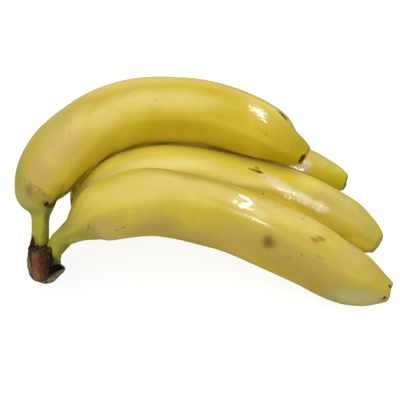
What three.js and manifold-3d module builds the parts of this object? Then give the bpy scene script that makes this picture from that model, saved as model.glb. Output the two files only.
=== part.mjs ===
// A cluster of four bananas on one crown, as cut from a larger hand, lying on a table.
// Millimetres, +Z up. The origin is on the table, under the middle of the bunch, and +X runs
// from the crown towards the tips.
import * as THREE from "three";
import { mergeVertices } from "three/addons/utils/BufferGeometryUtils.js";
import Module from "manifold-3d";

const wasm = await Module();
wasm.setup();

// Every fruit.
const ridgeCount = 5;
const facetSegments = 6;
const facetFlatness = 0.25; // 0 leaves the section round, 1 gives it five flat sides
const ringCount = 52;
const tipTrim = 1.4; // how far before the end of its centre line a fruit stops
const scarShare = 0.7;
const scarDepth = 0.7;
// How a fruit closes at its tip: distance from the tip, and share of its full radius.
const taper = [[22, 0.85], [11, 0.655], [5, 0.5], [1.6, 0.385], [0.5, 0.33], [0, 0.27]];

// Each fruit. Its route is its centre line from the crown to the tip. Its swell is its radius to the
// ridges at distances from the crown, up to where it starts to close, and its radius is its full one.
// Its ridge is the one nearest the top, in degrees from straight up, towards the front.
const fruits = [
  {
    name: "banana_front",
    colour: "#d2c050",
    ridge: 40,
    route: [
      [-81, -47, 22], [-79, -47.5, 29], [-74.5, -45, 37], [-68, -44, 41], [-58, -39.5, 47.5],
      [-48, -36.5, 50], [-32, -30, 49], [-15, -25, 42], [12, -26, 33], [33, -30, 26],
      [53, -39.5, 22], [70, -48, 16.2], [89, -58, 14.5], [98.5, -61.5, 14],
    ],
    swell: [
      [0, 4.6], [14, 4.6], [22, 5.3], [29, 7.7], [36, 11.6], [45, 16], [63, 18.2], [82, 18.5],
      [148, 18.4], [168, 17.8],
    ],
    radius: 18.8,
  },
  {
    name: "banana_middle",
    colour: "#c8b440",
    ridge: 30,
    route: [
      [-82, -40, 18], [-75.5, -33.5, 25.5], [-66, -25, 29.5], [-60, -16.5, 33], [-49, -5, 35],
      [-30, 7, 30], [-2, 13, 25], [26, 9.5, 21.2], [54, -1.2, 19], [75, -13.5, 17],
      [86, -21.5, 16.5], [96, -29, 15],
    ],
    swell: [
      [0, 5.2], [12, 5], [24, 7.2], [36, 11.8], [51, 15.2], [64, 16.6], [80, 17.1], [150, 17],
      [171, 16.4],
    ],
    radius: 17.5,
  },
  {
    name: "banana_back",
    colour: "#c0ac40",
    ridge: 20,
    route: [
      [-83, -31, 11], [-77, -22, 12], [-72, -14, 13], [-67.5, -4, 14], [-62.5, 13, 15.5],
      [-51, 31, 16], [-34, 45, 15], [-11, 51, 14.4], [14, 49.3, 14.4], [36, 42, 14.4],
      [56, 32, 14.4], [71, 25, 14.8], [83.5, 20.5, 14],
    ],
    swell: [
      [0, 5.6], [12, 5.4], [22, 6], [32, 8.2], [43, 12.4], [53, 14.7], [67, 15.4], [158, 15.2],
      [180, 14.4],
    ],
    radius: 15.2,
  },
  {
    name: "banana_top",
    colour: "#ccb848",
    ridge: -11,
    route: [
      [-86.5, -43, 29], [-85.2, -38, 38], [-85, -32, 45], [-86, -26, 50], [-81.5, -11, 55],
      [-67, 12.5, 58.5], [-56, 23, 58.5], [-33, 35.5, 56.5], [-3, 37, 54.5], [22, 31, 51],
      [38, 24, 48], [47, 17.5, 45.5], [57.5, 11.7, 42.5],
    ],
    swell: [
      [0, 4.8], [10, 4.8], [18, 5.5], [22, 7.7], [28, 12], [36, 15.4], [53, 18], [72, 18.6],
      [114, 19.2], [150, 18.7], [170, 17.6],
    ],
    radius: 17.6,
  },
];

// The crown: the middle of its cut face, how far that face leans back from facing straight up, and the
// outline of the face. The block of stalk behind the face slants down to the table.
const faceCentre = [-82.5, -54.5, 29];
const faceLean = THREE.MathUtils.degToRad(50);
const faceOutline = [
  [-7, 8], [-8.5, 4.5], [-8.6, -2], [-6.7, -6.2], [-2.4, -9.7], [2.4, -10.3], [8, -6.5],
  [10.8, -2.7], [7.7, 0], [5.2, 2.2], [4.2, 5.5], [4.2, 8.2], [-2, 8.4],
];
const faceSteps = 24;
const faceThickness = 5;
const faceBevel = 0.8;
const bevelSteps = 2;
const blockRadii = [8, 11, 19.5];
const blockCentre = [-2, -0.5, -20];
const blockSquareness = 0.7; // 1 is an ellipsoid, and less is nearer a box
const blockSides = 24;
const blockRings = 16;

// On the crown, in the frame of its cut face: the main hollow with its torn fibres, a pocket beside
// it, and a torn peak on the rim.
const hollowRadii = [5, 7.6, 2.6];
const hollowCentre = [-2.2, -0.5, 1];
const pocketRadii = [3.6, 1.9, 2.4];
const pocketCentre = [6.3, -4.3, 0.8];
const pocketTurn = THREE.MathUtils.degToRad(40);
const hollowSquareness = 0.6;
const fibreCount = 7;
const fibreRadius = 0.8;
const fibreLength = 13;
const fibreSpread = 8.6;
const fibreDepth = 1.75;
const fibreSides = 6;
const fibreCapRings = 2;
const peakRadius = 2.3;
const peakHeight = 8;
const peakSides = 7;
const peakCentre = [-5, 10.4, -1.8];

const skinGap = 0.3; // left between the crown and each fruit
const tableSize = 400;
const tableDepth = 20;
const weldDistance = 1e-4;

// The outline of a fruit, as radius and distance along its centre line, from pole to pole.
function outline({ swell, radius }, length) {
  const end = length - tipTrim;
  const stations = [
    ...swell.map(([along, reach]) => new THREE.Vector2(reach, along)),
    ...taper.map(([fromTip, share]) => new THREE.Vector2(share * radius, end - fromTip)),
  ];
  const side = new THREE.SplineCurve(stations).getSpacedPoints(ringCount);
  const scarRadius = stations.at(-1).x * scarShare;
  return [
    new THREE.Vector2(0, 0),
    ...side,
    new THREE.Vector2(scarRadius, end - scarDepth),
    new THREE.Vector2(0, end - scarDepth),
  ];
}

// How far the skin stands out at an angle from a ridge, against its distance at the ridge.
function facet(angle) {
  const step = (2 * Math.PI) / ridgeCount;
  const fromMiddle = THREE.MathUtils.euclideanModulo(angle, step) - step / 2;
  const flat = Math.cos(step / 2) / Math.cos(fromMiddle);
  return 1 - facetFlatness + facetFlatness * flat;
}

// A manifold-3d solid from a closed three.js geometry, without the triangles that shrink to a line.
function solidFrom(geometry) {
  geometry.deleteAttribute("normal");
  geometry.deleteAttribute("uv");
  const merged = mergeVertices(geometry, weldDistance);
  const corners = merged.index.array;
  const kept = [];
  for (let i = 0; i < corners.length; i += 3) {
    const [a, b, c] = corners.slice(i, i + 3);
    if (a !== b && b !== c && c !== a) kept.push(a, b, c);
  }
  const vertProperties = merged.attributes.position.array;
  return new wasm.Manifold(new wasm.Mesh({ numProp: 3, vertProperties, triVerts: new Uint32Array(kept) }));
}

// A named three.js mesh from a solid.
function meshFrom(name, solid, material) {
  const { vertProperties, triVerts } = solid.getMesh();
  const geometry = new THREE.BufferGeometry();
  geometry.setAttribute("position", new THREE.BufferAttribute(vertProperties, 3));
  geometry.setIndex(new THREE.BufferAttribute(triVerts, 1));
  geometry.computeVertexNormals();
  const mesh = new THREE.Mesh(geometry, material);
  mesh.name = name;
  return mesh;
}

// A fruit: turned as a straight body, given its ridges, then bent along its centre line.
function fruitSolid(fruit) {
  const points = fruit.route.map(([x, y, z]) => new THREE.Vector3(x, y, z));
  const centreLine = new THREE.CatmullRomCurve3(points, false, "centripetal");
  const length = centreLine.getLength();
  const geometry = new THREE.LatheGeometry(outline(fruit, length), ridgeCount * facetSegments);
  const position = geometry.attributes.position;
  const up = new THREE.Vector3(0, 0, 1);
  const point = new THREE.Vector3();
  for (let i = 0; i < position.count; i += 1) {
    const share = THREE.MathUtils.clamp(position.getY(i) / length, 0, 1);
    const tangent = centreLine.getTangentAt(share);
    const side = new THREE.Vector3().crossVectors(tangent, up).normalize();
    const lift = new THREE.Vector3().crossVectors(side, tangent);
    const angle = Math.atan2(position.getX(i), position.getZ(i));
    const reach = Math.hypot(position.getX(i), position.getZ(i)) * facet(angle);
    const turned = angle + THREE.MathUtils.degToRad(fruit.ridge);
    centreLine.getPointAt(share, point);
    point.addScaledVector(lift, reach * Math.cos(turned));
    point.addScaledVector(side, reach * Math.sin(turned));
    position.setXYZ(i, point.x, point.y, point.z);
  }
  return solidFrom(geometry);
}

// A closed geometry with the proportions of a box but rounded all over.
function roundedBlock([width, height, depth], squareness) {
  const geometry = new THREE.SphereGeometry(1, blockSides, blockRings);
  const position = geometry.attributes.position;
  const spread = (t) => Math.sign(t) * Math.abs(t) ** squareness;
  for (let i = 0; i < position.count; i += 1) {
    const x = spread(position.getX(i)) * width;
    const y = spread(position.getY(i)) * height;
    const z = spread(position.getZ(i)) * depth;
    position.setXYZ(i, x, y, z);
  }
  return geometry;
}

// A solid moved from the frame of the cut face, where +Z is out of the face, to the part's frame.
function onFace(geometry) {
  return solidFrom(geometry.rotateX(faceLean).translate(...faceCentre));
}

// The crown without its hollows and fibres, larger all round by grow.
function crownBody(grow) {
  const rim = new THREE.SplineCurve(faceOutline.map(([x, y]) => new THREE.Vector2(x, y)));
  const plate = new THREE.ExtrudeGeometry(new THREE.Shape(rim.getPoints(faceSteps)), {
    depth: faceThickness,
    bevelThickness: faceBevel + grow,
    bevelSize: faceBevel,
    bevelOffset: grow - faceBevel,
    bevelSegments: bevelSteps,
  }).translate(0, 0, -faceThickness - faceBevel);
  const block = roundedBlock(blockRadii.map((radius) => radius + grow), blockSquareness);
  return onFace(plate).add(onFace(block.translate(...blockCentre)));
}

// The crown: its body, hollowed at the cut, with torn fibres lying side by side in the main hollow.
function crownSolid() {
  const hollow = roundedBlock(hollowRadii, hollowSquareness).translate(...hollowCentre);
  const pocket = roundedBlock(pocketRadii, hollowSquareness).rotateZ(pocketTurn);
  const peak = new THREE.ConeGeometry(peakRadius, peakHeight, peakSides).translate(...peakCentre);
  let solid = crownBody(0).subtract(onFace(hollow));
  solid = solid.subtract(onFace(pocket.translate(...pocketCentre))).add(onFace(peak));
  for (let i = 0; i < fibreCount; i += 1) {
    const across = (i / (fibreCount - 1) - 0.5) * fibreSpread;
    const length = fibreLength * Math.sqrt(1 - (across / fibreSpread) ** 2);
    const fibre = new THREE.CapsuleGeometry(fibreRadius, length, fibreCapRings, fibreSides);
    fibre.translate(across + hollowCentre[0], hollowCentre[1], -fibreDepth);
    solid = solid.add(onFace(fibre));
  }
  return solid;
}

// What is cut away below the table's top, so that the bunch rests on small flats.
const belowTable = solidFrom(
  new THREE.BoxGeometry(tableSize, tableSize, tableDepth).translate(0, 0, -tableDepth / 2),
);
const crownRoom = crownBody(skinGap);

const group = new THREE.Group();
for (const fruit of fruits) {
  const skin = new THREE.MeshStandardMaterial({ color: fruit.colour, roughness: 0.45, metalness: 0 });
  group.add(meshFrom(fruit.name, fruitSolid(fruit).subtract(crownRoom).subtract(belowTable), skin));
}
const stalk = new THREE.MeshStandardMaterial({ color: "#6b4530", roughness: 0.85, metalness: 0 });
group.add(meshFrom("crown", crownSolid().subtract(belowTable), stalk));

export default group;
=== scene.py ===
# A bunch of four ripe bananas on one torn crown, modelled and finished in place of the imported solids.
# Sizes are written in millimetres and turned to metres where a mesh is placed.
import math

import bmesh
import bpy
from mathutils import Matrix, Vector, noise


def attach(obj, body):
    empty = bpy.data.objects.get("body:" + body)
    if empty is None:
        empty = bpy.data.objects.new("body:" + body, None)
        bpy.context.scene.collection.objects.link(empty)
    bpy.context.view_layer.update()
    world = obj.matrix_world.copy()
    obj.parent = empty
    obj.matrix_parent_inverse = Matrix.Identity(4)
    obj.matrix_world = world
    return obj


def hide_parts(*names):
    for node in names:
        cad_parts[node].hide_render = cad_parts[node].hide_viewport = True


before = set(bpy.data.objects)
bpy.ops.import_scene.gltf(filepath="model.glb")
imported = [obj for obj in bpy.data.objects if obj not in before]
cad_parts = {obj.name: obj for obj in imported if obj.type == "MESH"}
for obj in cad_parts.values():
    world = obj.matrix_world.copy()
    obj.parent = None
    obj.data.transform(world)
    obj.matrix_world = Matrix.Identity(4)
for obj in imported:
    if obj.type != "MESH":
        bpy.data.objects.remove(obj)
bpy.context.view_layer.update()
print("frame loaded with", len(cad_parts), "nodes")

mm = 0.001
up = Vector((0, 0, 1))


# Colours are written as sRGB hex and turned to linear here.
def colour(hexCode):
    channels = [int(hexCode[i : i + 2], 16) / 255 for i in (1, 3, 5)]
    return [c / 12.92 if c <= 0.04045 else ((c + 0.055) / 1.055) ** 2.4 for c in channels] + [1]


# Adds a shader node. A socket given another node's output is linked, and any other value is set.
# Map Range takes its value at 0, the range read at 1 and 2, and the range given back at 3 and 4.
# Mix takes the share at 0, and its two colours at 6 and 7.
def addNode(tree, kind, sockets, **settings):
    node = tree.nodes.new("ShaderNode" + kind)
    for name, value in settings.items():
        setattr(node, name, value)
    for socket, value in sockets.items():
        if isinstance(value, bpy.types.NodeSocket):
            tree.links.new(value, node.inputs[socket])
        else:
            node.inputs[socket].default_value = value
    return node.outputs


def smooth(value, start, end):
    share = min(max((value - start) / (end - start), 0), 1)
    return share * share * (3 - 2 * share)


# Reads a value off a table of (position, value) rows, on a smooth curve between the rows.
def readTable(table, position):
    if position <= table[0][0]:
        return table[0][1]
    for (start, low), (end, high) in zip(table, table[1:]):
        if position <= end:
            return low + (high - low) * smooth(position, start, end)
    return table[-1][1]


# A Catmull-Rom curve through the points, as a list of close points. The power spaces the knots:
# 0.5 is centripetal, for the centre lines, and 0 is uniform, for the outlines.
def curveThrough(points, power, steps=48):
    spots = [Vector(p) for p in points]
    first = 2 * spots[0] - spots[1] if power else spots[0]
    last = 2 * spots[-1] - spots[-2] if power else spots[-1]
    spots = [first, *spots, last]
    line = []
    for a, b, c, d in zip(spots, spots[1:], spots[2:], spots[3:]):
        before, here, after = [max((q - p).length, 1e-4) ** power for p, q in ((a, b), (b, c), (c, d))]
        leave = ((b - a) / before - (c - a) / (before + here) + (c - b) / here) * here
        arrive = ((c - b) / here - (d - b) / (here + after) + (d - c) / after) * here
        for i in range(steps):
            t = i / steps
            bend = -3 * b + 3 * c - 2 * leave - arrive
            twist = 2 * b - 2 * c + leave + arrive
            line.append(b + leave * t + bend * t**2 + twist * t**3)
    return [*line, spots[-2].copy()]


# Camera, light and floor.
studio = {
    "target": (-2, 1, 20),
    "elevation": 45,
    "distance": 560,
    "lens": 90,
    "sensor": 36,
    "domeAbove": 0.915,
    "domeBelow": 0.4,
    "domeBlend": 0.12,
    "frontGlow": 0.4,
    "frontSpread": 0.35,
    # glint lamps: degrees from the front round towards +X, degrees up, width and power in watts
    "lamps": [
        (116, 69, 340, 5), (58, 66, 260, 3.4), (-38, 77, 460, 6.5), (141, 37, 440, 7),
        (151, 22, 240, 4.6), (126, 49, 220, 4.4), (-27, 45, 260, 3.4),
    ],
    "lampDistance": 1050,
    "floorWhite": "#808080",
    "floorGlow": 0.86,
    "floorRoughness": 0.9,
    "floorSpecular": 0.1,
    "floorSize": 6000,
    "floorDrop": 0.05,
}


def makeStudio(s):
    scene = bpy.context.scene
    scene.view_settings.view_transform = "Standard"
    target = Vector(s["target"]) * mm
    lean = math.radians(s["elevation"])
    back = Vector((0, -math.cos(lean), math.sin(lean))) * s["distance"] * mm
    lens = bpy.data.cameras.new("camera")
    lens.lens = s["lens"]
    lens.sensor_width = s["sensor"]
    lens.clip_start = 0.01
    camera = bpy.data.objects.new("camera", lens)
    camera.location = target + back
    camera.rotation_euler = (math.radians(90) - lean, 0, 0)
    scene.collection.objects.link(camera)
    scene.camera = camera

    # A white dome lights the bunch from above and less from below, and glows most behind the camera.
    world = bpy.data.worlds.new("studioDome")
    world.use_nodes = True
    tree = world.node_tree
    heading = addNode(tree, "TexCoord", {})["Generated"]
    height = addNode(tree, "SeparateXYZ", {0: heading})["Z"]
    blend = s["domeBlend"]
    fade = {0: height, 1: -blend, 2: blend, 3: s["domeBelow"], 4: s["domeAbove"]}
    overhead = addNode(tree, "MapRange", fade)[0]
    sideways = {0: heading, 1: back.normalized()}
    facing = addNode(tree, "VectorMath", sideways, operation="DOT_PRODUCT")["Value"]
    fade = {0: facing, 1: s["frontSpread"], 2: 1, 3: 0, 4: s["frontGlow"]}
    front = addNode(tree, "MapRange", fade, interpolation_type="SMOOTHSTEP")[0]
    strength = addNode(tree, "Math", {0: overhead, 1: front}, operation="ADD")[0]
    background = tree.nodes["Background"]
    background.inputs["Color"].default_value = (1, 1, 1, 1)
    tree.links.new(strength, background.inputs["Strength"])
    scene.world = world

    # Small lamps that only make the glints.
    for number, (across, rise, width, power) in enumerate(s["lamps"]):
        light = bpy.data.lights.new(f"glintLamp{number}", "AREA")
        light.shape = "DISK"
        light.size = width * mm
        light.energy = power
        lamp = bpy.data.objects.new(light.name, light)
        across, rise = math.radians(across), math.radians(rise)
        level = math.cos(rise)
        away = Vector((math.sin(across) * level, -math.cos(across) * level, math.sin(rise)))
        lamp.location = target + away * s["lampDistance"] * mm
        lamp.rotation_euler = (-away).to_track_quat("-Z", "Y").to_euler()
        lamp.visible_diffuse = False
        scene.collection.objects.link(lamp)

    # White paper: matt, with a glow of its own, so that it stays pale under the bunch.
    bm = bmesh.new()
    bmesh.ops.create_grid(bm, x_segments=1, y_segments=1, size=s["floorSize"] * mm / 2)
    bmesh.ops.translate(bm, verts=bm.verts, vec=(0, 0, -s["floorDrop"] * mm))
    floor = linkMesh("floor", bm)
    white = bpy.data.materials.new("whitePaperSweep")
    white.use_nodes = True
    shader = white.node_tree.nodes["Principled BSDF"]
    shader.inputs["Base Color"].default_value = colour(s["floorWhite"])
    shader.inputs["Roughness"].default_value = s["floorRoughness"]
    shader.inputs["Specular IOR Level"].default_value = s["floorSpecular"]
    shader.inputs["Emission Color"].default_value = (1, 1, 1, 1)
    shader.inputs["Emission Strength"].default_value = s["floorGlow"]
    floor.data.materials.append(white)
    floor.visible_diffuse = False  # the dome's lower half lights the undersides instead
    floor.visible_glossy = False


def linkMesh(name, bm):
    if bm.calc_volume(signed=True) < 0:
        bmesh.ops.reverse_faces(bm, faces=bm.faces)
    mesh = bpy.data.meshes.new(name)
    bm.to_mesh(mesh)
    bm.free()
    piece = bpy.data.objects.new(name, mesh)
    bpy.context.scene.collection.objects.link(piece)
    return piece


makeStudio(studio)
print("studio ready")


# The four fruit. route is the centre line from the crown to the tip, swell is (along, radius),
# and taper is (distance from the tip, share of the radius).
# ridge is (along, angle), where angle 0 is the top of the section and 90 faces the viewer.
# Marks are (along, angle, half length, half width, turn, strength), and swellings, which are
# hollows where they are negative, are (along, angle, half length, half width in degrees, height).
taper = [(22, 0.85), (11, 0.655), (5, 0.5), (1.6, 0.385), (0.5, 0.33), (0, 0.27)]
skinShape = {
    "around": 100,
    "rings": 240,
    "tipCrowding": 0.75,
    "tipTrim": 1.4,
    "tipRagged": 0.35,
    "ridgeCount": 5,
    "ridgeSoftness": 6,
    "ridgeWidth": 14,
    "scarDepth": 1.5,
    "tiltReach": 7,
    "waves": [(26, 0.22), (9, 0.09), (4, 0.035)],
    "capShares": (0.88, 0.7, 0.45, 0.2),
    "capDepths": (0.12, 0.5, 0.75, 0.7),
}

bananaFront = {
    "name": "bananaFront",
    "node": "banana_front",
    "slot": "skin_front",
    "seed": 3,
    "radius": 18.8,
    "ridge": [(0, 40), (60, 40), (108, 30), (140, 31), (165, 33.5), (190, 36)],
    "flatness": [(0, 0.75), (22, 0.6), (40, 0.3), (100, 0.3), (125, 0.48), (190, 0.45)],
    "route": [
        (-80.8, -45.5, 20.5), (-78.8, -46.2, 27.7), (-74.5, -44.5, 36.5), (-68, -44, 41),
        (-58, -39.5, 47.5), (-48, -36.5, 50), (-32, -30, 49), (-15, -25, 42), (12, -26, 33),
        (33, -30, 26), (53, -39.5, 22), (70, -48, 16.2), (89, -58, 14.5), (98.5, -61.5, 14),
    ],
    "swell": [
        (0, 4.6), (14, 4.6), (22, 5.3), (29, 7.7), (36, 11.6), (45, 16), (63, 18.2), (82, 18.5),
        (148, 18.4), (168, 17.8),
    ],
    "colours": {"light": "#CDBA42", "deep": "#C5AC2C", "neck": "#9E9838", "tip": "#AE9C34"},
    "neckGreen": (24, 38),
    "tipGreen": (205, 190),
    "marks": {
        # Painted sheen: a paler tint along the upper facets.
        "paintedSheen": [(66, 18, 44, 13, 0, 0.55), (120, 0, 60, 8, 0, 0.4)],
        "paintedLight": [],
        "paintedPaleLight": [],
        # Painted shade on the lower facets below the ridge and on the upper side near the tip.
        "shade": [
            (158, 66, 72, 16, 0, 0.75), (112, 80, 30, 10, 0, 0.4), (180, 46, 20, 12, 0, 0.55),
            (186, -2, 18, 20, 0, 0.45), (84, 96, 56, 9, 0, 0.45),
        ],
        "tan": [
            (42, 76, 20, 12, 0, 0.9), (66, 86, 34, 12, 0, 0.7), (100, 100, 40, 10, 0, 0.5),
            (118, 86, 26, 12, 0, 0.5), (33, 40, 8, 8, 0, 0.35), (125, 8, 22, 7, 0, 0.2),
        ],
        "mossAndShade": [(14, 108, 16, 2, 0, 0.4), (34, -26, 6, 3, 0, 0.3), (34, 92, 9, 8, 0, 0.25)],
        # The first row is painted shade on the upper side, under the middle fruit.
        "oliveAndShade": [(84, -30, 36, 9, 0, 0.55), (160, 22, 28, 6, 0, 0.35)],
        # Painted reflection: the pale surroundings seen at grazing angles on the underside and upper edge
        # near the tip.
        "grey": [(194, 72, 20, 8, 0, 0.8), (188, 100, 26, 9, 0, 0.8), (180, -38, 16, 3.5, 0, 0.5)],
        # A painted sheen line on the upper edge near the tip.
        "pale": [(191.5, -33, 5, 0.5, 0, 0.8)],
        # Painted highlight round the glints on the ridge; the two rows low on the fruit are painted light
        # on the underside.
        "paintedHaze": [
            (119, 8, 9, 5, 0, 0.25), (128, 16, 8, 5, 0, 0.3), (124, 29, 20, 1.6, 0, 0.5),
            (42, 92, 14, 8, 0, 0.12), (197, 88, 22, 8, 0, 0.2),
        ],
        "bruiseAndShade": [
            (140.6, 54, 8.4, 5.8, 0, 0.9), (140.4, 54.5, 5.6, 4, 0, 0.95), (166.8, 35.2, 4.4, 1, 0, 0.3),
            (36, 61, 3.4, 1, 30, 0.6), (48.4, 86, 1.1, 0.9, 0, 0.8), (51, 83, 1.8, 0.8, 20, 0.65),
            (155, 62, 2, 1.4, 0, 0.4), (209, 6, 1.8, 2, 0, 0.6), (206.6, 81, 2.2, 2, 0, 0.6),
        ],
        "rust": [(163, 3, 3.2, 2.6, 0, 1), (161, 12, 3, 2, 0, 1), (162, 7.5, 2, 2, 0, 0.9)],
        "scar": [(152, -20.1, 0.6, 0.5, 0, 0.9), (208, 14, 0.9, 1, 0, 0.8), (207, 70, 0.9, 1.2, 0, 0.8)],
        "wax": [
            (118, 12, 11, 6, 0, 0.3), (126, 29, 18, 1.4, 0, 0.6), (110, 190, 50, 14, 0, 0.4),
            (165, -50, 30, 8, 0, 0.4),
        ],
        "gloss": [
            (118, -8.5, 4, 1, -11, 1), (121.6, -1, 1.5, 1.8, 0, 1), (118.6, 10, 4.6, 1.5, 36, 1),
            (113.4, 9, 0.8, 1.5, 0, 1), (116.6, 27, 0.7, 0.5, 0, 1), (120, 27.5, 0.8, 0.6, 0, 1),
            (130, 30, 8, 0.35, 0, 0.9), (140, 28, 0.8, 0.5, 0, 1),
        ],
    },
    "swellings": [
        (27.5, 95, 9, 60, -1.9), (31, 112, 11, 55, 1.4), (50, 118, 14, 50, -0.5), (138, 112, 34, 45, 1.2),
        (205, -75, 12, 80, -1.3), (206, 120, 9, 60, -1),
    ],
    "tipTilt": (0, 0),
    "tipDark": 0.35,
}

bananaMiddle = {
    "name": "bananaMiddle",
    "node": "banana_middle",
    "slot": "skin_middle",
    "seed": 11,
    "radius": 17.5,
    "ridge": [(0, 30), (120, 30), (190, 30)],
    "flatness": [(0, 0.75), (22, 0.6), (40, 0.27)],
    "route": [
        (-82, -40, 18), (-75.5, -33.5, 25.5), (-66, -25, 29.5), (-60, -16.5, 33), (-49, -5, 35),
        (-30, 7, 30), (-2, 13, 25), (26, 9.5, 21.2), (54, -1.2, 19), (75, -13.5, 17), (86, -21.5, 16.5),
        (96, -29, 15),
    ],
    "swell": [
        (0, 5.2), (12, 5), (24, 7.2), (36, 11.8), (51, 15.2), (64, 16.6), (80, 17.1), (150, 17),
        (171, 16.4),
    ],
    "colours": {"light": "#D0BC44", "deep": "#C8AE28", "neck": "#9A9A1C", "tip": "#B4A634"},
    "neckGreen": (16, 44),
    "tipGreen": (212, 190),
    "marks": {
        # Painted sheen: a paler tint on the upper side near the neck.
        "paintedSheen": [(48, 10, 24, 12, 0, 0.8)],
        # Painted light on the parts that the top and front fruit shade.
        "paintedLight": [
            (112, -14, 76, 15, 0, 0.7), (100, 20, 60, 10, 0, 0.7), (150, 68, 50, 7, 0, 0.9),
            (52, -38, 22, 6, 0, 1), (143, -42, 30, 7, 0, 1), (204, 86, 14, 5, 0, 0.45),
            (50, -26, 14, 8, 0, 0.9),
        ],
        # Painted light and sheen on the upper side, which the top fruit overhangs.
        "paintedPaleLight": [(88, 20, 44, 7, 0, 0.85), (128, 34, 34, 5, 0, 0.6)],
        # Painted shade on the upper side near the tip.
        "shade": [(188, 2, 24, 16, 0, 0.4)],
        "tan": [(125, 20, 28, 6, 0, 0.2), (175, 18, 18, 8, 0, 0.3)],
        "mossAndShade": [],
        "oliveAndShade": [(120, 62, 60, 5, 0, 0.25)],
        "grey": [(206, 25, 10, 9, 0, 0.5)],
        # A painted sheen line along the seam under the top fruit.
        "pale": [(150, 24, 30, 2.2, 0, 0.25)],
        # Painted highlight: a whitish band along the glint.
        "paintedHaze": [(151, 22, 19, 4.6, -13, 0.7), (166, 30, 13, 4.2, -8, 0.75), (177, 31, 9, 4.2, 0, 0.6)],
        "bruiseAndShade": [(143.9, 48, 0.8, 0.8, 0, 0.8), (137.4, 7, 3, 0.8, -6, 0.95)],
        "rust": [(135.5, 6.6, 6.6, 1.7, -5, 1), (135.4, -2.4, 2.6, 1, -10, 0.9)],
        "scar": [(138, 7.4, 2, 0.5, -8, 0.4)],
        "wax": [(154, 25, 20, 5, -13, 0.55), (176, 30, 8, 4, 0, 0.25), (120, -100, 40, 14, 0, 0.4)],
        "gloss": [(164, 35, 1.4, 0.6, -20, 0.8), (161, 32, 1.2, 0.6, 0, 0.6)],
    },
    "swellings": [(80, -22, 44, 50, 2.5)],
    "tipTilt": (0, 0),
    "tipDark": 0.4,
}

bananaBack = {
    "name": "bananaBack",
    "node": "banana_back",
    "slot": "skin_back",
    "seed": 23,
    "radius": 15.2,
    "ridge": [(0, 20), (120, 20), (200, 20)],
    "flatness": [(0, 0.75), (22, 0.6), (40, 0.27)],
    "route": [
        (-83, -31, 11), (-77, -22, 12), (-72, -14, 13), (-67.5, -4, 14), (-62.5, 13, 15.5), (-51, 31, 16),
        (-34, 45, 15), (-11, 51, 14.4), (14, 49.3, 14.4), (36, 42, 14.4), (56, 32, 14.4), (71, 25, 14.8),
        (83.5, 20.5, 14),
    ],
    "swell": [
        (0, 5.6), (12, 5.4), (22, 6), (32, 8.2), (43, 12.4), (53, 14.7), (67, 15.4), (158, 15.2),
        (180, 14.4),
    ],
    "colours": {"light": "#CCB828", "deep": "#C0A614", "neck": "#8C9018", "tip": "#BCB41C"},
    "neckGreen": (16, 44),
    "tipGreen": (222, 186),
    "marks": {
        "paintedSheen": [],
        # Painted light on the strip that shows in the shaded gap between the top and middle fruit.
        "paintedLight": [(100, 28, 56, 11, 0, 1)],
        "paintedPaleLight": [],
        "shade": [],
        "tan": [(120, -40, 30, 10, 0, 0.4)],
        "mossAndShade": [],
        # The first row is painted shade on the neck where it shows in the gap behind the middle fruit.
        "oliveAndShade": [(48, -60, 26, 12, 0, 0.6), (150, 60, 40, 10, 0, 0.4)],
        "grey": [(199, -8, 12, 5, 0, 0.35)],
        "pale": [],
        # Painted highlight round the glint near the tip.
        "paintedHaze": [(190.5, 32, 9, 7, 0, 1)],
        # The rows at along 35, 41, 47, 62, 80 and 102 are painted shade where this fruit lies under the top
        # one and shows in the gaps; the rest are real brown marks.
        "bruiseAndShade": [
            (35, -56, 7, 5.4, 0, 1), (41, -45, 7, 5.6, 0, 1), (47, -22, 15, 5, 0, 0.8),
            (150, -30, 4, 2.6, 20, 0.6), (62, 3, 12, 4, 0, 0.8), (80, 16, 16, 4, 0, 0.8),
            (102, 29, 18, 4, 0, 0.7), (110, -10, 2.6, 1.8, 60, 0.6), (82, -70, 4.5, 2.6, 0, 0.5),
        ],
        "rust": [(60, -60, 2, 1.6, 0, 0.7)],
        "scar": [(218.5, 60, 0.9, 2.6, 0, 0.8)],
        "wax": [(190.5, 34, 9, 7, 0, 1), (110, -60, 40, 12, 0, 0.4)],
        "gloss": [(192.5, 38, 1.6, 3, 0, 1)],
    },
    "swellings": [(211, 20, 9, 60, 1.2), (212, -5, 10, 60, 1.1), (214, 110, 8, 60, -0.9)],
    "tipTilt": (60, 1),
    "tipDark": 0.55,
}

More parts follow.
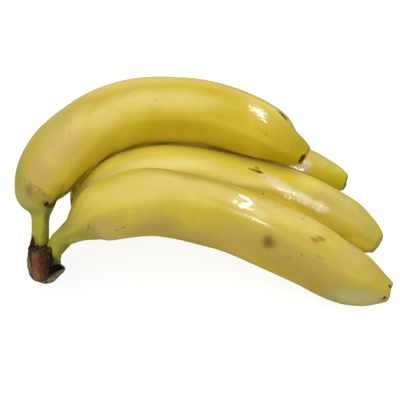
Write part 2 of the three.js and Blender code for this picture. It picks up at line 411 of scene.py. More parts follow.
bananaTop = {
    "name": "bananaTop",
    "node": "banana_top",
    "slot": "skin_top",
    "seed": 37,
    "radius": 17.6,
    "ridge": [(0, 25), (17, 25), (34, -11), (200, -11)],
    "flatness": [(0, 0.75), (22, 0.6), (40, 0.27)],
    "route": [
        (-86.5, -43, 29), (-85.2, -38, 38), (-85, -32, 45), (-86, -26, 50), (-81.5, -11, 55),
        (-67, 12.5, 58.5), (-56, 23, 58.5), (-33, 35.5, 56.5), (-3, 37, 54.5), (22, 31, 51), (38, 24, 48),
        (47, 17.5, 45.5), (57.5, 11.7, 42.5),
    ],
    "swell": [
        (0, 4.8), (10, 4.8), (18, 5.5), (22, 7.7), (28, 12), (36, 15.4), (53, 18), (72, 18.6),
        (114, 19.2), (150, 18.7), (170, 17.6),
    ],
    "colours": {"light": "#CFB832", "deep": "#C6AC16", "neck": "#A09A36", "tip": "#B09C10"},
    "neckGreen": (20, 25),
    "tipGreen": (206, 178),
    "marks": {
        # Painted sheen: a paler tint over the upper facets.
        "paintedSheen": [
            (104, -30, 80, 14, 0, 0.9), (58, 16, 30, 12, 0, 0.8), (118, 32, 54, 9, 0, 0.8),
            (80, 42, 22, 8, 0, 0.7),
        ],
        "paintedLight": [],
        "paintedPaleLight": [],
        # Painted shade on the upper side near the neck.
        "shade": [(52, -10, 34, 12, 0, 0.45), (34, -14, 12, 9, 0, 0.4)],
        "tan": [
            (34, 12, 15, 15, 0, 0.95), (27, 10, 8, 12, 0, 0.9), (52, 36, 24, 14, 0, 0.7),
            (74, 0, 34, 10, 0, 0.5), (180, 15, 12, 9, 0, 0.3), (110, 10, 40, 8, 0, 0.25),
        ],
        # The rows facing 78 to 108 are painted shade along the lower side of the neck and shoulder; the two
        # on the upper side are the neck's own green.
        "mossAndShade": [
            (18, 78, 8, 4.6, 0, 0.75), (8, 82, 13, 4, 0, 0.65), (25, 88, 8, 5, 0, 0.9),
            (42, 108, 24, 3.6, 0, 0.7), (23, -22, 8, 13, 0, 0.4), (29, -52, 12, 6, 0, 0.25),
        ],
        # The rows facing 66 and 80 are painted shade at the shoulder and along the lower band.
        "oliveAndShade": [
            (135, 80, 50, 9, 0, 0.45), (203, 30, 16, 15, 0, 0.5), (30, 66, 10, 7, 0, 0.95),
            (23, 8, 5, 8, 0, 0.35),
        ],
        # Painted reflection of the pale surroundings along the upper edge, which also darkens that side as
        # painted shade.
        "grey": [
            (34, -52, 22, 9, 0, 0.85), (25, -38, 10, 11, 0, 0.9), (24, -6, 7, 8, 0, 0.3),
            (75, -40, 40, 6, 0, 0.55), (125, -30, 30, 4, 0, 0.35),
        ],
        "pale": [],
        # Painted highlight round the glint near the tip.
        "paintedHaze": [(178, 14, 8, 4.4, -23, 0.6)],
        "rust": [],
        # The two darkest rows at along 21 to 22, facing 58 and 82, are painted shade in the crease under
        # the shoulder; the rest are real brown marks.
        "bruiseAndShade": [
            (27, -19, 3.4, 2.4, 0, 0.5), (28, -9, 2.4, 2, 0, 0.45), (26.6, -18, 2.6, 1.1, 0, 0.6),
            (28.6, 4, 1, 3.6, -8, 0.35), (27.6, 16, 0.9, 2.4, 10, 0.5), (26.2, 26, 1.8, 1.4, 30, 0.6),
            (22.8, 16, 1.4, 3.6, 0, 0.6), (22.2, 36, 1.6, 3.2, -10, 0.8), (22.3, 30, 1.8, 4, 0, 0.7),
            (21.4, 58, 1.9, 5, 0, 0.9), (22.4, 82, 2.3, 4, 0, 0.9), (189, -16, 5.4, 2, -8, 0.7),
            (30.5, -24, 1.4, 1, 0, 0.4), (30.3, -10, 0.8, 0.8, 0, 0.5), (187.4, 48, 2.6, 1.8, 0, 0.35),
            (58.6, 24, 4.2, 0.7, 60, 0.3), (95.5, 19, 5, 0.6, 20, 0.3), (102, 12, 6, 0.5, 12, 0.25),
            (45, 60, 4, 0.6, 25, 0.25),
        ],
        # The row at along 21.3, facing 60, is painted shade in the crease under the shoulder.
        "scar": [
            (189, -16, 4, 1.1, -8, 0.9), (21.3, 60, 1.1, 5, 0, 0.5), (22, 31, 1.1, 2.4, -10, 0.95),
            (209.2, 84, 1, 2.8, 0, 0.95), (209.3, 64, 1.3, 3, 0, 0.95),
        ],
        "wax": [(177, 14, 9, 4.6, -23, 1), (110, -80, 40, 12, 0, 0.4)],
        "gloss": [(181.5, 22, 3.6, 0.9, -30, 1)],
    },
    "swellings": [
        (18, 78, 7, 50, -1), (32, 120, 8, 45, -0.8), (22, 95, 9, 60, 1.6), (4, 80, 10, 70, 0.9),
        (24, -75, 8, 60, 1.3), (76, -60, 22, 55, -1.1), (128, -65, 36, 50, -0.6),
        (198, -60, 13, 70, -1.9), (210, 8, 8, 60, -0.8), (156, 128, 24, 40, -1.1),
        (199, 115, 15, 60, -1.5),
    ],
    "tipTilt": (0, 0),
    "tipDark": 0.35,
}

fruit = [bananaFront, bananaMiddle, bananaBack, bananaTop]


# Where a fruit's section is turned about and which way it faces, at each step along its length.
def measureRoute(banana):
    line = curveThrough(banana["route"], 0.5)
    alongs = [0]
    for a, b in zip(line, line[1:]):
        alongs.append(alongs[-1] + (b - a).length)
    return line, alongs


def placeOnRoute(line, alongs, along):
    low, high = 0, len(alongs) - 1
    while high - low > 1:
        middle = (low + high) // 2
        low, high = (middle, high) if alongs[middle] <= along else (low, middle)
    share = (along - alongs[low]) / (alongs[high] - alongs[low])
    return line[low].lerp(line[high], share)


# Radius against distance along the centre line.
def measureSwell(banana, body):
    stations = [(reach, along) for along, reach in banana["swell"]]
    stations += [(share * banana["radius"], body - back) for back, share in taper]
    return [(p.y, p.x) for p in curveThrough(stations, 0)]


def readSwell(outline, along):
    for (start, low), (end, high) in zip(outline, outline[1:]):
        if along <= end:
            return low + (high - low) * (along - start) / max(end - start, 1e-6)
    return outline[-1][1]


# How far the skin stands out at an angle from a ridge, against its distance at a sharp ridge.
def ridgeReach(angle, flatness, shape):
    step = 360 / shape["ridgeCount"]
    away = abs((angle + step / 2) % step - step / 2)
    soft = math.hypot(away, shape["ridgeSoftness"])
    flat = math.cos(math.radians(step / 2)) / math.cos(math.radians(step / 2 - min(soft, step / 2)))
    return 1 - flatness * (1 - flat), 1 - smooth(away, 0, shape["ridgeWidth"])


# A straight tube is cut into rings, given its outline, ridges and small waves, then bent. The place
# of each vertex on the straight fruit is kept as an attribute, so that patterns follow the skin.
def makeBanana(banana, shape):
    line, alongs = measureRoute(banana)
    length = alongs[-1] - shape["tipTrim"]
    outline = measureSwell(banana, length)
    offset = Vector((banana["seed"] * 31, 0, 0))

    bm = bmesh.new()
    straight = bm.verts.layers.float_vector.new("straight")
    ridgeLine = bm.verts.layers.float.new("ridgeLine")
    around = shape["around"]
    bmesh.ops.create_cone(bm, cap_ends=True, segments=around, radius1=1, radius2=1, depth=1)
    bmesh.ops.translate(bm, verts=bm.verts, vec=(0, 0, 0.5))
    sides = [e for e in bm.edges if abs(e.verts[0].co.z - e.verts[1].co.z) > 0.5]
    bmesh.ops.subdivide_edges(bm, edges=sides, cuts=shape["rings"], use_grid_fill=True)
    caps = [f for f in bm.faces if len(f.verts) == around]
    root, tip = sorted(caps, key=lambda f: f.calc_center_median().z)
    # The tip is closed in steps that sink to a shallow dish.
    for share, depth in zip(shape["capShares"], shape["capDepths"]):
        tip = bmesh.ops.extrude_discrete_faces(bm, faces=[tip])["faces"][0]
        for v in tip.verts:
            flat = v.co.xy.normalized() * share
            v.co = Vector((flat.x, flat.y, 1 + depth))
    bmesh.ops.poke(bm, faces=[tip, root])

    crowd = shape["tipCrowding"]
    for v in bm.verts:
        angle = math.degrees(math.atan2(v.co.y, v.co.x))
        radians = math.radians(angle)
        sink = max(v.co.z - 1, 0)
        share = min(v.co.z, 1)
        along = length * (share + crowd * share * share * (1 - share))  # closer rings at the tip
        inward = v.co.xy.length
        reach = readSwell(outline, along) * inward
        flatness = readTable(banana["flatness"], along)
        swell, ridge = ridgeReach(angle - readTable(banana["ridge"], along), flatness, shape)
        reach *= swell
        heading = Vector((math.cos(radians), math.sin(radians), 0))
        # Fine waves, then the soft swellings and hollows.
        spot = heading * reach + up * along
        for size, height in shape["waves"]:
            reach += height * noise.noise(spot / size + offset) * min(reach / 12, 1)
        for where, facing, halfLong, halfWide, rise in banana["swellings"]:
            off = (angle - facing + 180) % 360 - 180
            away = math.hypot((along - where) / halfLong, off / halfWide)
            reach += rise * inward * (1 - smooth(away, 0, 1))
        # A ragged rim round the scar, and the tip set aslant.
        rough = noise.noise(heading * 1.7 + offset) * smooth(along, length - shape["scarDepth"], length)
        reach += rough * shape["tipRagged"] * inward
        facing, tilt = banana["tipTilt"]
        slant = tilt * math.cos(math.radians(angle - facing)) * inward
        along += slant * smooth(along, length - shape["tiltReach"], length)
        along += rough * shape["tipRagged"] * 1.2 - sink

        # Bent on to the centre line with the section upright, and flattened where it meets the table.
        centre = placeOnRoute(line, alongs, along)
        middle = min(max(along, 1), length - 1)
        ahead = placeOnRoute(line, alongs, middle + 1)
        behind = placeOnRoute(line, alongs, middle - 1)
        forward = (ahead - behind).normalized()
        side = forward.cross(up).normalized()
        lift = side.cross(forward)
        place = centre + (lift * math.cos(radians) + side * math.sin(radians)) * reach
        place.z = max(place.z, 0)
        v[straight] = heading * reach + up * along
        v[ridgeLine] = ridge
        v.co = place * mm
    bmesh.ops.recalc_face_normals(bm, faces=bm.faces)
    for f in bm.faces:
        f.smooth = True
    piece = linkMesh(banana["name"], bm)
    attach(piece, "root")
    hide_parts(banana["node"])
    return piece, outline, length


# How each kind of mark looks. edge is where it starts to fade, ragged is how far its outline
# wanders in millimetres, and coarse marks take the broad noise.
markKinds = {
    # A paler tint: painted sheen on the upper facets, where the light from above glances off.
    "paintedSheen": {"colour": "#DAC96C", "edge": 0.3, "ragged": 4, "coarse": True, "strength": 1},
    # A light yellow: painted light, which lifts the shade that a neighbouring fruit casts.
    "paintedLight": {"colour": "#EEDA4C", "edge": 0.45, "ragged": 3, "coarse": True, "strength": 1},
    # A pale yellow: painted light and sheen on a side that a neighbouring fruit shades.
    "paintedPaleLight": {"colour": "#F0E390", "edge": 0, "ragged": 4, "coarse": True, "strength": 1},
    # A darker grey-yellow: painted shade on facets turned away from the light.
    "shade": {"colour": "#A8954A", "edge": 0.35, "ragged": 3, "coarse": True, "strength": 1},
    "tan": {"colour": "#B89A56", "edge": 0, "ragged": 3.5, "coarse": True, "strength": 0.9},
    # A dark green: the neck's own green, and on the top fruit painted shade along the lower side of the
    # neck and shoulder.
    "mossAndShade": {"colour": "#636A10", "edge": 0.5, "ragged": 0.8, "coarse": False, "strength": 1},
    # A deeper yellow-green: partly the peel's own tone, partly painted shade under neighbouring fruit and
    # on lower facets.
    "oliveAndShade": {"colour": "#A88C0C", "edge": 0, "ragged": 4, "coarse": True, "strength": 0.8},
    # A greyish tint: the peel's own grey-green near some tips, and elsewhere a painted reflection of the
    # pale surroundings at grazing angles.
    "grey": {"colour": "#A09A58", "edge": 0, "ragged": 4, "coarse": True, "strength": 0.8},
    # Thin pale lines: painted sheen.
    "pale": {"colour": "#E0D07A", "edge": 0.1, "ragged": 0.6, "coarse": False, "strength": 0.9},
    # A whitish tint: painted highlight round the glints, and painted light on some undersides.
    "paintedHaze": {"colour": "#F0E8CC", "edge": 0.1, "ragged": 1.8, "coarse": False, "strength": 0.8},
    "rust": {"colour": "#A67A00", "edge": 0.4, "ragged": 0.8, "coarse": False, "strength": 0.95},
    # Dark brown: real knocks, and painted shade where the fruit lie close together and in the crease at the
    # top fruit's shoulder.
    "bruiseAndShade": {"colour": "#6A430E", "edge": 0, "ragged": 1.1, "coarse": False, "strength": 0.95},
    "scar": {"colour": "#22140A", "edge": 0.6, "ragged": 0.9, "coarse": False, "strength": 0.97},
    "wax": {"edge": 0.2, "ragged": 2.4, "coarse": False, "strength": 1},
    "gloss": {"edge": 0.7, "ragged": 0.7, "coarse": False, "strength": 1},
}

# Sizes of the noise fields are in millimetres, and so are the heights of the relief.
skinFinish = {
    "broad": 24,
    "fine": 1.6,
    "broadMix": 0.85,
    "streakWidth": 1.3,
    "streakLength": 34,
    "streakTone": "#B89414",
    "streakMix": 0.16,
    "mottle": 3.2,
    "mottleTone": "#DCC648",
    "mottleMix": 0.25,
    # A lighter tone along each ridge: painted highlight where the ridges catch the light.
    "ridgeHighlightTone": "#DCC850",
    "ridgeHighlightMix": 0.3,
    "speckSpacing": 7,
    "speckRadius": 0.075,
    "speckTone": "#6E5216",
    "stubTone": "#20140A",
    "roughness": 0.48,
    "filmRoughness": 0.15,
    "pore": 0.55,
    "poreHeight": 0.012,
    "dent": 2.6,
    "dentHeight": 0.05,
    "strandHeight": 0.05,
    "grainHeight": 0.14,
    "scarHeight": -0.15,
    "unevenness": 0.07,
    "deadRoughness": 0.25,
    "greenWander": 12,
    "ior": 1.45,
    "specular": 0.08,
}


# Ripe banana peel: a thin waxy skin over soft flesh. The wax gives short broken glints on a satin
# yellow, the peel is greener towards both ends, and knocks show as tan, brown and black marks. The
# pores and the grains of wax are drawn several times coarser than they are, so that they show.
def makeSkin(banana, outline, length, finish):
    material = bpy.data.materials.new(banana["name"] + "WaxyPeel")
    material.use_nodes = True
    tree = material.node_tree
    shader = tree.nodes["Principled BSDF"]
    tones = banana["colours"]
    seed = Vector((banana["seed"] * 17, 0, 0))

    skin = addNode(tree, "Attribute", {}, attribute_name="straight")["Vector"]
    ridgeLine = addNode(tree, "Attribute", {}, attribute_name="ridgeLine")["Fac"]
    along = addNode(tree, "SeparateXYZ", {0: skin})["Z"]
    spot = addNode(tree, "VectorMath", {0: skin, 1: seed}, operation="ADD")[0]

    # Noise fields, each at its size in millimetres.
    broad = addNode(tree, "TexNoise", {"Vector": spot, "Scale": 1 / finish["broad"], "Detail": 3})
    fine = addNode(tree, "TexNoise", {"Vector": spot, "Scale": 1 / finish["fine"], "Detail": 4})
    mottle = addNode(tree, "TexNoise", {"Vector": spot, "Scale": 1 / finish["mottle"], "Detail": 5})
    stretch = (1 / finish["streakWidth"], 1 / finish["streakWidth"], 1 / finish["streakLength"])
    drawn = addNode(tree, "Mapping", {"Vector": spot, "Scale": stretch}, vector_type="POINT")[0]
    streak = addNode(tree, "TexNoise", {"Vector": drawn, "Scale": 1, "Detail": 3})

    # Base yellow, from deep to light, with drawn streaks, fine mottling and a lighter tone along the
    # ridges, which is painted highlight.
    share = addNode(tree, "MapRange", {0: broad[0], 1: 0.36, 2: 0.62, 3: 0, 4: finish["broadMix"]})[0]
    tone = {0: share, 6: colour(tones["deep"]), 7: colour(tones["light"])}
    base = addNode(tree, "Mix", tone, data_type="RGBA")[2]
    layers = [
        (streak[0], 0.45, 0.75, finish["streakMix"], finish["streakTone"]),
        (mottle[0], 0.5, 0.8, finish["mottleMix"], finish["mottleTone"]),
        (ridgeLine, 0.2, 1, finish["ridgeHighlightMix"], finish["ridgeHighlightTone"]),
    ]
    for field, low, high, most, tint in layers:
        share = addNode(tree, "MapRange", {0: field, 1: low, 2: high, 3: 0, 4: most})[0]
        base = addNode(tree, "Mix", {0: share, 6: base, 7: colour(tint)}, data_type="RGBA")[2]

    # Greener neck and tip. The edge of the green wanders by a few millimetres.
    most = finish["greenWander"]
    wander = addNode(tree, "Math", {0: broad[0], 1: 2 * most, 2: -most}, operation="MULTIPLY_ADD")[0]
    drift = addNode(tree, "Math", {0: along, 1: wander}, operation="ADD")[0]
    for (full, none), tint, most in (
        (banana["neckGreen"], tones["neck"], 0.92),
        (banana["tipGreen"], tones["tip"], 0.75),
    ):
        fade = {0: drift, 1: none, 2: full, 3: 0, 4: most}
        share = addNode(tree, "MapRange", fade, interpolation_type="SMOOTHSTEP")[0]
        base = addNode(tree, "Mix", {0: share, 6: base, 7: colour(tint)}, data_type="RGBA")[2]

    # Marks: each is an ellipsoid on the straight fruit, whose outline is broken up by noise. Besides real
    # marks, some kinds paint sheen, highlights, reflections, light and shade into the colour.
    dull = None
    coats = {"wax": 0, "gloss": 0}
    for kind, look in markKinds.items():
        field = broad if look["coarse"] else fine
        centred = addNode(tree, "VectorMath", {0: field[1], 1: (0.5, 0.5, 0.5)}, operation="SUBTRACT")[0]
        push = addNode(tree, "VectorMath", {0: centred, 3: look["ragged"] * 2}, operation="SCALE")[0]
        wandering = addNode(tree, "VectorMath", {0: skin, 1: push}, operation="ADD")[0]
        mask = None
        for where, angle, halfLong, halfWide, turn, strength in banana["marks"][kind]:
            radius = readSwell(outline, where)
            radians = math.radians(angle)
            centre = (radius * math.cos(radians), radius * math.sin(radians), where)
            sockets = {
                "Vector": wandering,
                "Location": centre,
                "Rotation": (math.radians(turn), 0, radians),
                "Scale": (max(2 * halfWide, 5), halfWide, halfLong),
            }
            local = addNode(tree, "Mapping", sockets, vector_type="TEXTURE")[0]
            away = addNode(tree, "VectorMath", {0: local}, operation="LENGTH")["Value"]
            fade = {0: away, 1: 1, 2: look["edge"], 3: 0, 4: strength * look["strength"]}
            share = addNode(tree, "MapRange", fade, interpolation_type="SMOOTHSTEP")[0]
            both = {0: mask, 1: share}
            mask = share if mask is None else addNode(tree, "Math", both, operation="MAXIMUM")[0]
        if mask is None:
            continue
        if kind in coats:
            coats[kind] = mask
            continue
        base = addNode(tree, "Mix", {0: mask, 6: base, 7: colour(look["colour"])}, data_type="RGBA")[2]
        if kind in ("bruiseAndShade", "scar"):
            both = {0: dull, 1: mask}
            dull = mask if dull is None else addNode(tree, "Math", both, operation="MAXIMUM")[0]

    # Sparse pin-head specks.
    cells = addNode(tree, "TexVoronoi", {"Vector": spot, "Scale": 1 / finish["speckSpacing"]})
    pick = addNode(tree, "SeparateColor", {0: cells["Color"]})[0]
    size = addNode(tree, "MapRange", {0: pick, 1: 0.5, 2: 1, 3: 0, 4: finish["speckRadius"]})[0]
    inside = addNode(tree, "Math", {0: size, 1: cells["Distance"]}, operation="SUBTRACT")[0]
    speck = addNode(tree, "MapRange", {0: inside, 1: 0, 2: 0.02, 3: 0, 4: 0.7})[0]
    base = addNode(tree, "Mix", {0: speck, 6: base, 7: colour(finish["speckTone"])}, data_type="RGBA")[2]

    # The dry scar at the tip.
    ragged = addNode(tree, "Math", {0: fine[0], 1: 3, 2: -1.5}, operation="MULTIPLY_ADD")[0]
    reach = addNode(tree, "Math", {0: along, 1: ragged}, operation="ADD")[0]
    fade = {0: reach, 1: length - 0.7, 2: length + 0.1, 3: 0, 4: banana["tipDark"]}
    stub = addNode(tree, "MapRange", fade, interpolation_type="SMOOTHSTEP")[0]
    base = addNode(tree, "Mix", {0: stub, 6: base, 7: colour(finish["stubTone"])}, data_type="RGBA")[2]
    dull = addNode(tree, "Math", {0: dull, 1: stub}, operation="MAXIMUM")[0]
    tree.links.new(base, shader.inputs["Base Color"])

    # Duller where it is dead, and a little uneven elsewhere.
    most = finish["unevenness"]
    uneven = addNode(tree, "MapRange", {0: mottle[0], 1: 0.3, 2: 0.7, 3: -most, 4: most})[0]
    wax = addNode(tree, "Math", {0: uneven, 1: finish["roughness"]}, operation="ADD")[0]
    dead = {0: dull, 1: 0, 2: 1, 3: 0, 4: finish["deadRoughness"]}
    rough = addNode(tree, "Math", {0: wax, 1: addNode(tree, "MapRange", dead)[0]}, operation="ADD")[0]
    tree.links.new(rough, shader.inputs["Roughness"])

    # A thicker film of wax, broken into grains, and smooth glossy licks where it has been rubbed.
    grain = addNode(tree, "MapRange", {0: fine[0], 1: 0.4, 2: 0.6, 3: 0.12, 4: 1})[0]
    film = addNode(tree, "Math", {0: coats["wax"], 1: grain}, operation="MULTIPLY")[0]
    film = addNode(tree, "Math", {0: film, 1: coats["gloss"]}, operation="MAXIMUM")[0]
    tree.links.new(film, shader.inputs["Coat Weight"])
    shader.inputs["Coat Roughness"].default_value = finish["filmRoughness"]

    # Relief in millimetres: pores, shallow dents, faint strands along the peel, and sunken scars.
    pore = addNode(tree, "TexNoise", {"Vector": spot, "Scale": 1 / finish["pore"], "Detail": 2})[0]
    dent = addNode(tree, "TexNoise", {"Vector": spot, "Scale": 1 / finish["dent"], "Detail": 3})[0]
    relief = addNode(tree, "Math", {0: pore, 1: finish["poreHeight"]}, operation="MULTIPLY")[0]
    grains = addNode(tree, "Math", {0: fine[0], 1: film}, operation="MULTIPLY")[0]
    for field, height in (
        (dent, finish["dentHeight"]),
        (streak[0], finish["strandHeight"]),
        (grains, finish["grainHeight"]),
        (dull, finish["scarHeight"]),
    ):
        relief = addNode(tree, "Math", {0: field, 1: height, 2: relief}, operation="MULTIPLY_ADD")[0]
    normal = addNode(tree, "Bump", {"Height": relief, "Distance": mm, "Strength": 1})[0]
    tree.links.new(normal, shader.inputs["Normal"])
    shader.inputs["IOR"].default_value = finish["ior"]
    shader.inputs["Specular IOR Level"].default_value = finish["specular"]
    return material


for banana in fruit:
    piece, outline, length = makeBanana(banana, skinShape)
    piece.data.materials.append(makeSkin(banana, outline, length, skinFinish))
    print(banana["name"], "made,", len(piece.data.polygons), "faces")


# The crown. Its own frame lies on the cut face: x to the right, y up the face, z out of the face.
crownShape = {
    "centre": (-82.5, -54.5, 29),
    "lean": 50,
    "around": 180,
    "rings": 120,
    "outline": [
        (-7, 8), (-8.5, 4.5), (-8.6, -2), (-6.7, -6.2), (-2.4, -9.7), (2.4, -10.3), (8, -6.5),
        (10.8, -2.7), (7.7, 0), (5.2, 2.2), (4.2, 5.5), (4.2, 8.2), (-2, 8.4),
    ],
    "middle": (-1.2, -0.8),
    "rimRound": 0.5,
    "plate": 5,
    "blockRadii": (8, 11),
    "blockCentre": (-2, -0.5),
    "blockDepth": 39,
    "hollow": {"centre": (1.6, 1.5), "radii": (3.4, 8), "turn": -8, "depth": 1.3},
    "pocket": {"centre": (6, -2.9), "radii": (4.4, 2.1), "turn": 28, "depth": 3.6},
    "peelWidth": [
        (-180, 2.1), (-125, 1.6), (-100, 0.4), (-80, 1.5), (-55, 2.9), (-25, 3), (-8, 1), (14, -0.5),
        (126, -0.5), (150, 1.5), (180, 2.1),
    ],
    "peelLift": 0.9,
    "leftFall": 1.6,
    "ragged": 0.3,
    "topRagged": 0.9,
    "fibres": [(0.9, 9, 0.42), (0.38, 4, 0.2)],
    "lumps": [(3.2, 0.55)],
}


# Distance from the middle of the face to its rim, at each degree.
def measureRim(shape):
    middle = Vector(shape["middle"])
    ring = shape["outline"]
    line = curveThrough([*ring[-2:], *ring, *ring[:2]], 0.5, 24)
    polar = [(math.degrees(math.atan2(*(p - middle).yx)), (p - middle).length) for p in line]
    return [min(polar, key=lambda row: abs(row[0] - degree))[1] for degree in range(-180, 181)]


def readRim(reaches, degree):
    low = int(math.floor(degree + 180)) % 360
    share = degree + 180 - math.floor(degree + 180)
    return reaches[low] * (1 - share) + reaches[low + 1] * share


# How deep a rounded hollow is at a point of the face, as a share of its full depth.
def hollowShare(x, y, hollow):
    c, s = math.cos(math.radians(hollow["turn"])), math.sin(math.radians(hollow["turn"]))
    dx, dy = x - hollow["centre"][0], y - hollow["centre"][1]
    away = math.hypot((dx * c + dy * s) / hollow["radii"][0], (dy * c - dx * s) / hollow["radii"][1])
    return 1 - smooth(away, 0.5, 1.1)


# Height of the torn cut face above its plane, how deep it is, which later darkens it as painted shade, and
# how much of the inside shows.
def cutRelief(x, y, share, rim, degree, shape):
    inPocket = hollowShare(x, y, shape["pocket"])
    inHollow = hollowShare(x, y, shape["hollow"])
    edge = rim * (1 - share)
    width = readTable(shape["peelWidth"], degree)
    peel = 1 - smooth(edge, width - 0.35, width + 0.35)
    height = 0
    for across, along, high in shape["fibres"]:
        height += high * noise.noise(Vector((x / across, y / along, across)))
    for size, high in shape["lumps"]:
        height += high * noise.noise(Vector((x / size, y / size, 20)))
    height *= (1 - 0.7 * peel) * (1 - smooth(share, 0.9, 1))
    height -= inHollow * shape["hollow"]["depth"] + inPocket * shape["pocket"]["depth"]
    height += peel * smooth(width, 1.5, 3) * shape["peelLift"]
    height -= smooth(-x, 5, 9) * shape["leftFall"] + smooth(share, 0.93, 1) * shape["rimRound"]
    return height, max(inPocket, 0.5 * inHollow) * (1 - peel), 1 - peel


# A ball is shaped: its front half becomes the torn cut face with its hollows, and its back half
# the stalk behind it, which is cut flat at the table.
def shapeStalk(bm, shape):
    reaches = measureRim(shape)
    cut, deep = bm.verts.layers.float["cutFace"], bm.verts.layers.float["deep"]
    bmesh.ops.create_uvsphere(bm, u_segments=shape["around"], v_segments=shape["rings"], radius=1)
    faceMiddle, blockMiddle = Vector(shape["middle"]), Vector(shape["blockCentre"])
    for v in bm.verts:
        polar = math.degrees(math.acos(max(min(v.co.z, 1), -1)))
        degree = math.degrees(math.atan2(v.co.y, v.co.x))
        radians = math.radians(degree)
        heading = Vector((math.cos(radians), math.sin(radians)))
        top = smooth(degree, 25, 60) * (1 - smooth(degree, 125, 150))
        rim = readRim(reaches, degree) + shape["ragged"] * noise.noise(Vector((*heading * 5, 7)))
        rim += top * shape["topRagged"] * noise.noise(Vector((*heading * 14, 2)))
        if polar <= 90:
            share = polar / 90
            x, y = faceMiddle + heading * rim * share
            z, v[deep], v[cut] = cutRelief(x, y, share, rim, degree, shape)
        else:
            t = (polar - 90) / 90
            rimHeight = cutRelief(*(faceMiddle + heading * rim), 1, rim, degree, shape)[0]
            z = rimHeight - shape["blockDepth"] * (1 - math.cos(t * math.pi / 2)) ** 0.8
            blend = smooth(-z, 1.5, shape["plate"] + 7)
            across, along = shape["blockRadii"]
            squared = (abs(heading.x / across) ** 3 + abs(heading.y / along) ** 3) ** (-1 / 3)
            close = (1 - t**5) ** 0.4
            reach = (rim * (1 - blend) + squared * blend) * close
            reach += 0.5 * close * noise.noise(Vector((*heading * 3, z / 7)))
            x, y = faceMiddle.lerp(blockMiddle, blend) + heading * reach
            v[cut], v[deep] = top * (1 - smooth(polar, 112, 124)), 0.4 * top
        v.co = (x, y, z)


# Torn strips and fibres that stand up at the rim, as thin cones bent a little. Each row is
# (x, y, z of the foot, x, y, z of the point, width, thickness).
tornStrips = [
    (-5.9, 7.2, -1.9, -5.6, 14.4, -2.4, 2.4, 0.9), (-7.2, 6.6, -2, -7.7, 9.2, -2.6, 0.9, 0.6),
    (-3.4, 7.9, -1.6, -3, 10.2, -2.4, 0.9, 0.6), (3.9, 7.6, -1.2, 4.6, 8.8, -1.5, 0.8, 0.5),
    (3.2, -3.6, -0.4, 5.2, -1.6, 0.5, 0.6, 0.4), (4, -5.2, -0.6, 6.2, -3.6, 0.2, 0.5, 0.4),
    (9.8, -2.2, 0.2, 11, -1.6, 1.1, 0.8, 0.5), (2.4, -7.6, -0.3, 3.8, -5.8, 0.7, 0.5, 0.4),
]


def newStalkMesh():
    bm = bmesh.new()
    bm.verts.layers.float.new("cutFace")
    bm.verts.layers.float.new("deep")
    bm.verts.layers.float_vector.new("straight")
    return bm


def makeStrip(x0, y0, z0, x1, y1, z1, width, thickness):
    foot, point = Vector((x0, y0, z0)), Vector((x1, y1, z1))
    strip = newStalkMesh()
    cut, deep = strip.verts.layers.float["cutFace"], strip.verts.layers.float["deep"]
    bmesh.ops.create_cone(strip, cap_ends=True, segments=10, radius1=1, radius2=0.08, depth=1)
    sides = [e for e in strip.edges if abs(e.verts[0].co.z - e.verts[1].co.z) > 0.5]
    bmesh.ops.subdivide_edges(strip, edges=sides, cuts=7, use_grid_fill=True)
    run = (point - foot).normalized()
    across = run.cross(up).normalized()
    outward = across.cross(run)
    for v in strip.verts:
        t = v.co.z + 0.5
        bow = math.sin(t * math.pi) * 0.12 * (point - foot).length
        place = foot.lerp(point, t) + outward * (v.co.y * thickness + bow)
        place += across * (v.co.x * width * (1 + 0.3 * noise.noise(foot + up * t * 4)))
        v.co = place
        v[cut], v[deep] = 1, 0.8
    mesh = bpy.data.meshes.new("strip")
    strip.to_mesh(mesh)
    strip.free()
    return mesh


def makeCrown(shape, strips):
    bm = newStalkMesh()
    shapeStalk(bm, shape)
    for strip in strips:
        mesh = makeStrip(*strip)
        bm.from_mesh(mesh)
        bpy.data.meshes.remove(mesh)
    local = bm.verts.layers.float_vector["straight"]
    toPart = Matrix.Translation(shape["centre"]) @ Matrix.Rotation(math.radians(shape["lean"]), 4, "X")
    for v in bm.verts:
        v[local] = v.co
        v.co = toPart @ v.co * mm
    table = bmesh.ops.bisect_plane(
        bm,
        geom=[*bm.verts, *bm.edges, *bm.faces],
        plane_co=(0, 0, 0),
        plane_no=(0, 0, 1),
        clear_inner=True,
    )
    bmesh.ops.holes_fill(bm, edges=[e for e in table["geom_cut"] if isinstance(e, bmesh.types.BMEdge)])
    bmesh.ops.recalc_face_normals(bm, faces=bm.faces)
    for f in bm.faces:
        f.smooth = True
    piece = linkMesh("crownStalk", bm)
    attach(piece, "root")
    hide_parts("crown")
    return piece


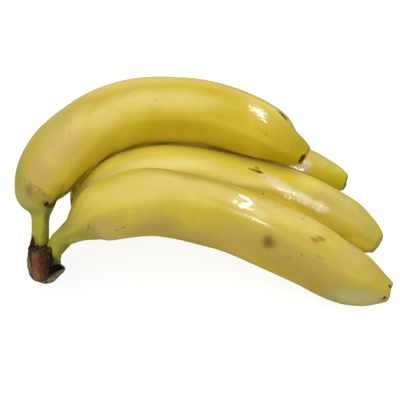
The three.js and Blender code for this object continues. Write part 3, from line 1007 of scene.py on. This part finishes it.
# Widths and lengths of fibres, stains and grains are in millimetres, and so are their heights. The
# fibres are drawn about four times as wide as real ones, so that they show.
crownFinish = {
    "blotch": 3,
    "grain": 0.6,
    "grainHeight": 0.14,
    "wander": 4,
    "fibreWidth": 1.1,
    "fibreLength": 11,
    "fibreHeight": 0.4,
    "strandFineness": 2.4,
    "light": "#472B1E",
    "dark": "#2C180E",
    "black": "#120C08",
    "strands": [(0.52, 0.66, 0.7, "#1E110A"), (0.46, 0.32, 0.4, "#9C7650")],
    "stainWidth": 2.4,
    "stainLength": 16,
    "peel": "#7A7852",
    "peelBrown": "#4E4030",
    "roughness": 0.72,
    "specular": 0.05,
    # centre, radii, tint and strength of each patch of the torn face
    "patches": [
        ((-4.4, -0.8, 0), (3.2, 10.5, 9), "#7A5234", 0.85),
        ((-3.6, -5.6, 0), (2.6, 4, 9), "#8C6038", 0.7),
        ((-1.4, -2, 0), (1.9, 9.5, 9), "#5E2E14", 0.85),
        ((0.8, -1, 0), (1.7, 9.5, 9), "#3E1A0A", 0.85),
        ((3, 0.5, 0), (2.4, 9.5, 9), "#180702", 0.95),
        ((-6.7, -2, 0), (1.4, 9.5, 9), "#3A2412", 0.8),
        ((-5.9, 8.8, 0), (3.6, 3.2, 9), "#241409", 0.9),
        ((0.2, 9, 0), (5.5, 1.8, 9), "#2A140A", 0.9),
        # The last patch darkens the pocket: painted shade.
        ((6.4, -2.6, -2), (5, 3, 9), "#130C04", 0.97),
    ],
}


# Dried banana stalk, torn from its stem: dull brown fibres that run up the face, darkened to near
# black in the deep pocket as painted shade, with a thin edge of grey-green peel round the outside.
def makeStalk(finish):
    material = bpy.data.materials.new("driedTornStalk")
    material.use_nodes = True
    tree = material.node_tree
    shader = tree.nodes["Principled BSDF"]
    place = addNode(tree, "Attribute", {}, attribute_name="straight")["Vector"]
    cut = addNode(tree, "Attribute", {}, attribute_name="cutFace")["Fac"]
    deep = addNode(tree, "Attribute", {}, attribute_name="deep")["Fac"]
    blotch = addNode(tree, "TexNoise", {"Vector": place, "Scale": 1 / finish["blotch"], "Detail": 4})
    grain = addNode(tree, "TexNoise", {"Vector": place, "Scale": 1 / finish["grain"], "Detail": 3})
    centred = addNode(tree, "VectorMath", {0: blotch[1], 1: (0.5, 0.5, 0.5)}, operation="SUBTRACT")[0]
    push = addNode(tree, "VectorMath", {0: centred, 3: finish["wander"]}, operation="SCALE")[0]
    wandering = addNode(tree, "VectorMath", {0: place, 1: push}, operation="ADD")[0]
    width, long = finish["fibreWidth"], finish["fibreLength"]
    drawn = addNode(tree, "Mapping", {"Vector": wandering, "Scale": (1 / width, 1 / long, 1 / width)})[0]
    fibre = addNode(tree, "TexNoise", {"Vector": drawn, "Scale": 1, "Detail": 5})

    share = addNode(tree, "MapRange", {0: fibre[0], 1: 0.36, 2: 0.64, 3: 0, 4: 1})[0]
    tones = {0: share, 6: colour(finish["dark"]), 7: colour(finish["light"])}
    face = addNode(tree, "Mix", tones, data_type="RGBA")[2]
    for centre, radii, tint, most in finish["patches"]:
        spread = {"Vector": wandering, "Location": centre, "Scale": radii}
        near = addNode(tree, "Mapping", spread, vector_type="TEXTURE")[0]
        away = addNode(tree, "VectorMath", {0: near}, operation="LENGTH")["Value"]
        drift = addNode(tree, "Math", {0: fibre[0], 1: 0.9, 2: away}, operation="MULTIPLY_ADD")[0]
        share = addNode(tree, "MapRange", {0: drift, 1: 1.45, 2: 0.95, 3: 0, 4: most})[0]
        face = addNode(tree, "Mix", {0: share, 6: face, 7: colour(tint)}, data_type="RGBA")[2]
    strand = addNode(tree, "TexNoise", {"Vector": drawn, "Scale": finish["strandFineness"], "Detail": 4})[0]
    for low, high, most, tint in finish["strands"]:
        share = addNode(tree, "MapRange", {0: strand, 1: low, 2: high, 3: 0, 4: most})[0]
        face = addNode(tree, "Mix", {0: share, 6: face, 7: colour(tint)}, data_type="RGBA")[2]
    # Near black where deep: painted shade in the pocket and the hollow, and the torn strips' own dark
    # colour.
    share = addNode(tree, "MapRange", {0: deep, 1: 0.45, 2: 0.9, 3: 0, 4: 0.9})[0]
    face = addNode(tree, "Mix", {0: share, 6: face, 7: colour(finish["black"])}, data_type="RGBA")[2]

    width, long = finish["stainWidth"], finish["stainLength"]
    drawn = addNode(tree, "Mapping", {"Vector": wandering, "Scale": (1 / width, 1 / width, 1 / long)})[0]
    stain = addNode(tree, "TexNoise", {"Vector": drawn, "Scale": 1, "Detail": 5})[0]
    share = addNode(tree, "MapRange", {0: stain, 1: 0.36, 2: 0.64, 3: 0, 4: 0.95})[0]
    tones = {0: share, 6: colour(finish["peel"]), 7: colour(finish["peelBrown"])}
    peel = addNode(tree, "Mix", tones, data_type="RGBA")[2]
    skin = addNode(tree, "Mix", {0: cut, 6: peel, 7: face}, data_type="RGBA")[2]
    tree.links.new(skin, shader.inputs["Base Color"])
    relief = addNode(tree, "Math", {0: fibre[0], 1: finish["fibreHeight"]}, operation="MULTIPLY")[0]
    rise = {0: grain[0], 1: finish["grainHeight"], 2: relief}
    relief = addNode(tree, "Math", rise, operation="MULTIPLY_ADD")[0]
    normal = addNode(tree, "Bump", {"Height": relief, "Distance": mm, "Strength": 1})[0]
    tree.links.new(normal, shader.inputs["Normal"])
    shader.inputs["Roughness"].default_value = finish["roughness"]
    shader.inputs["Specular IOR Level"].default_value = finish["specular"]
    return material


stalk = makeCrown(crownShape, tornStrips)
stalk.data.materials.append(makeStalk(crownFinish))
print("crown made,", len(stalk.data.polygons), "faces")
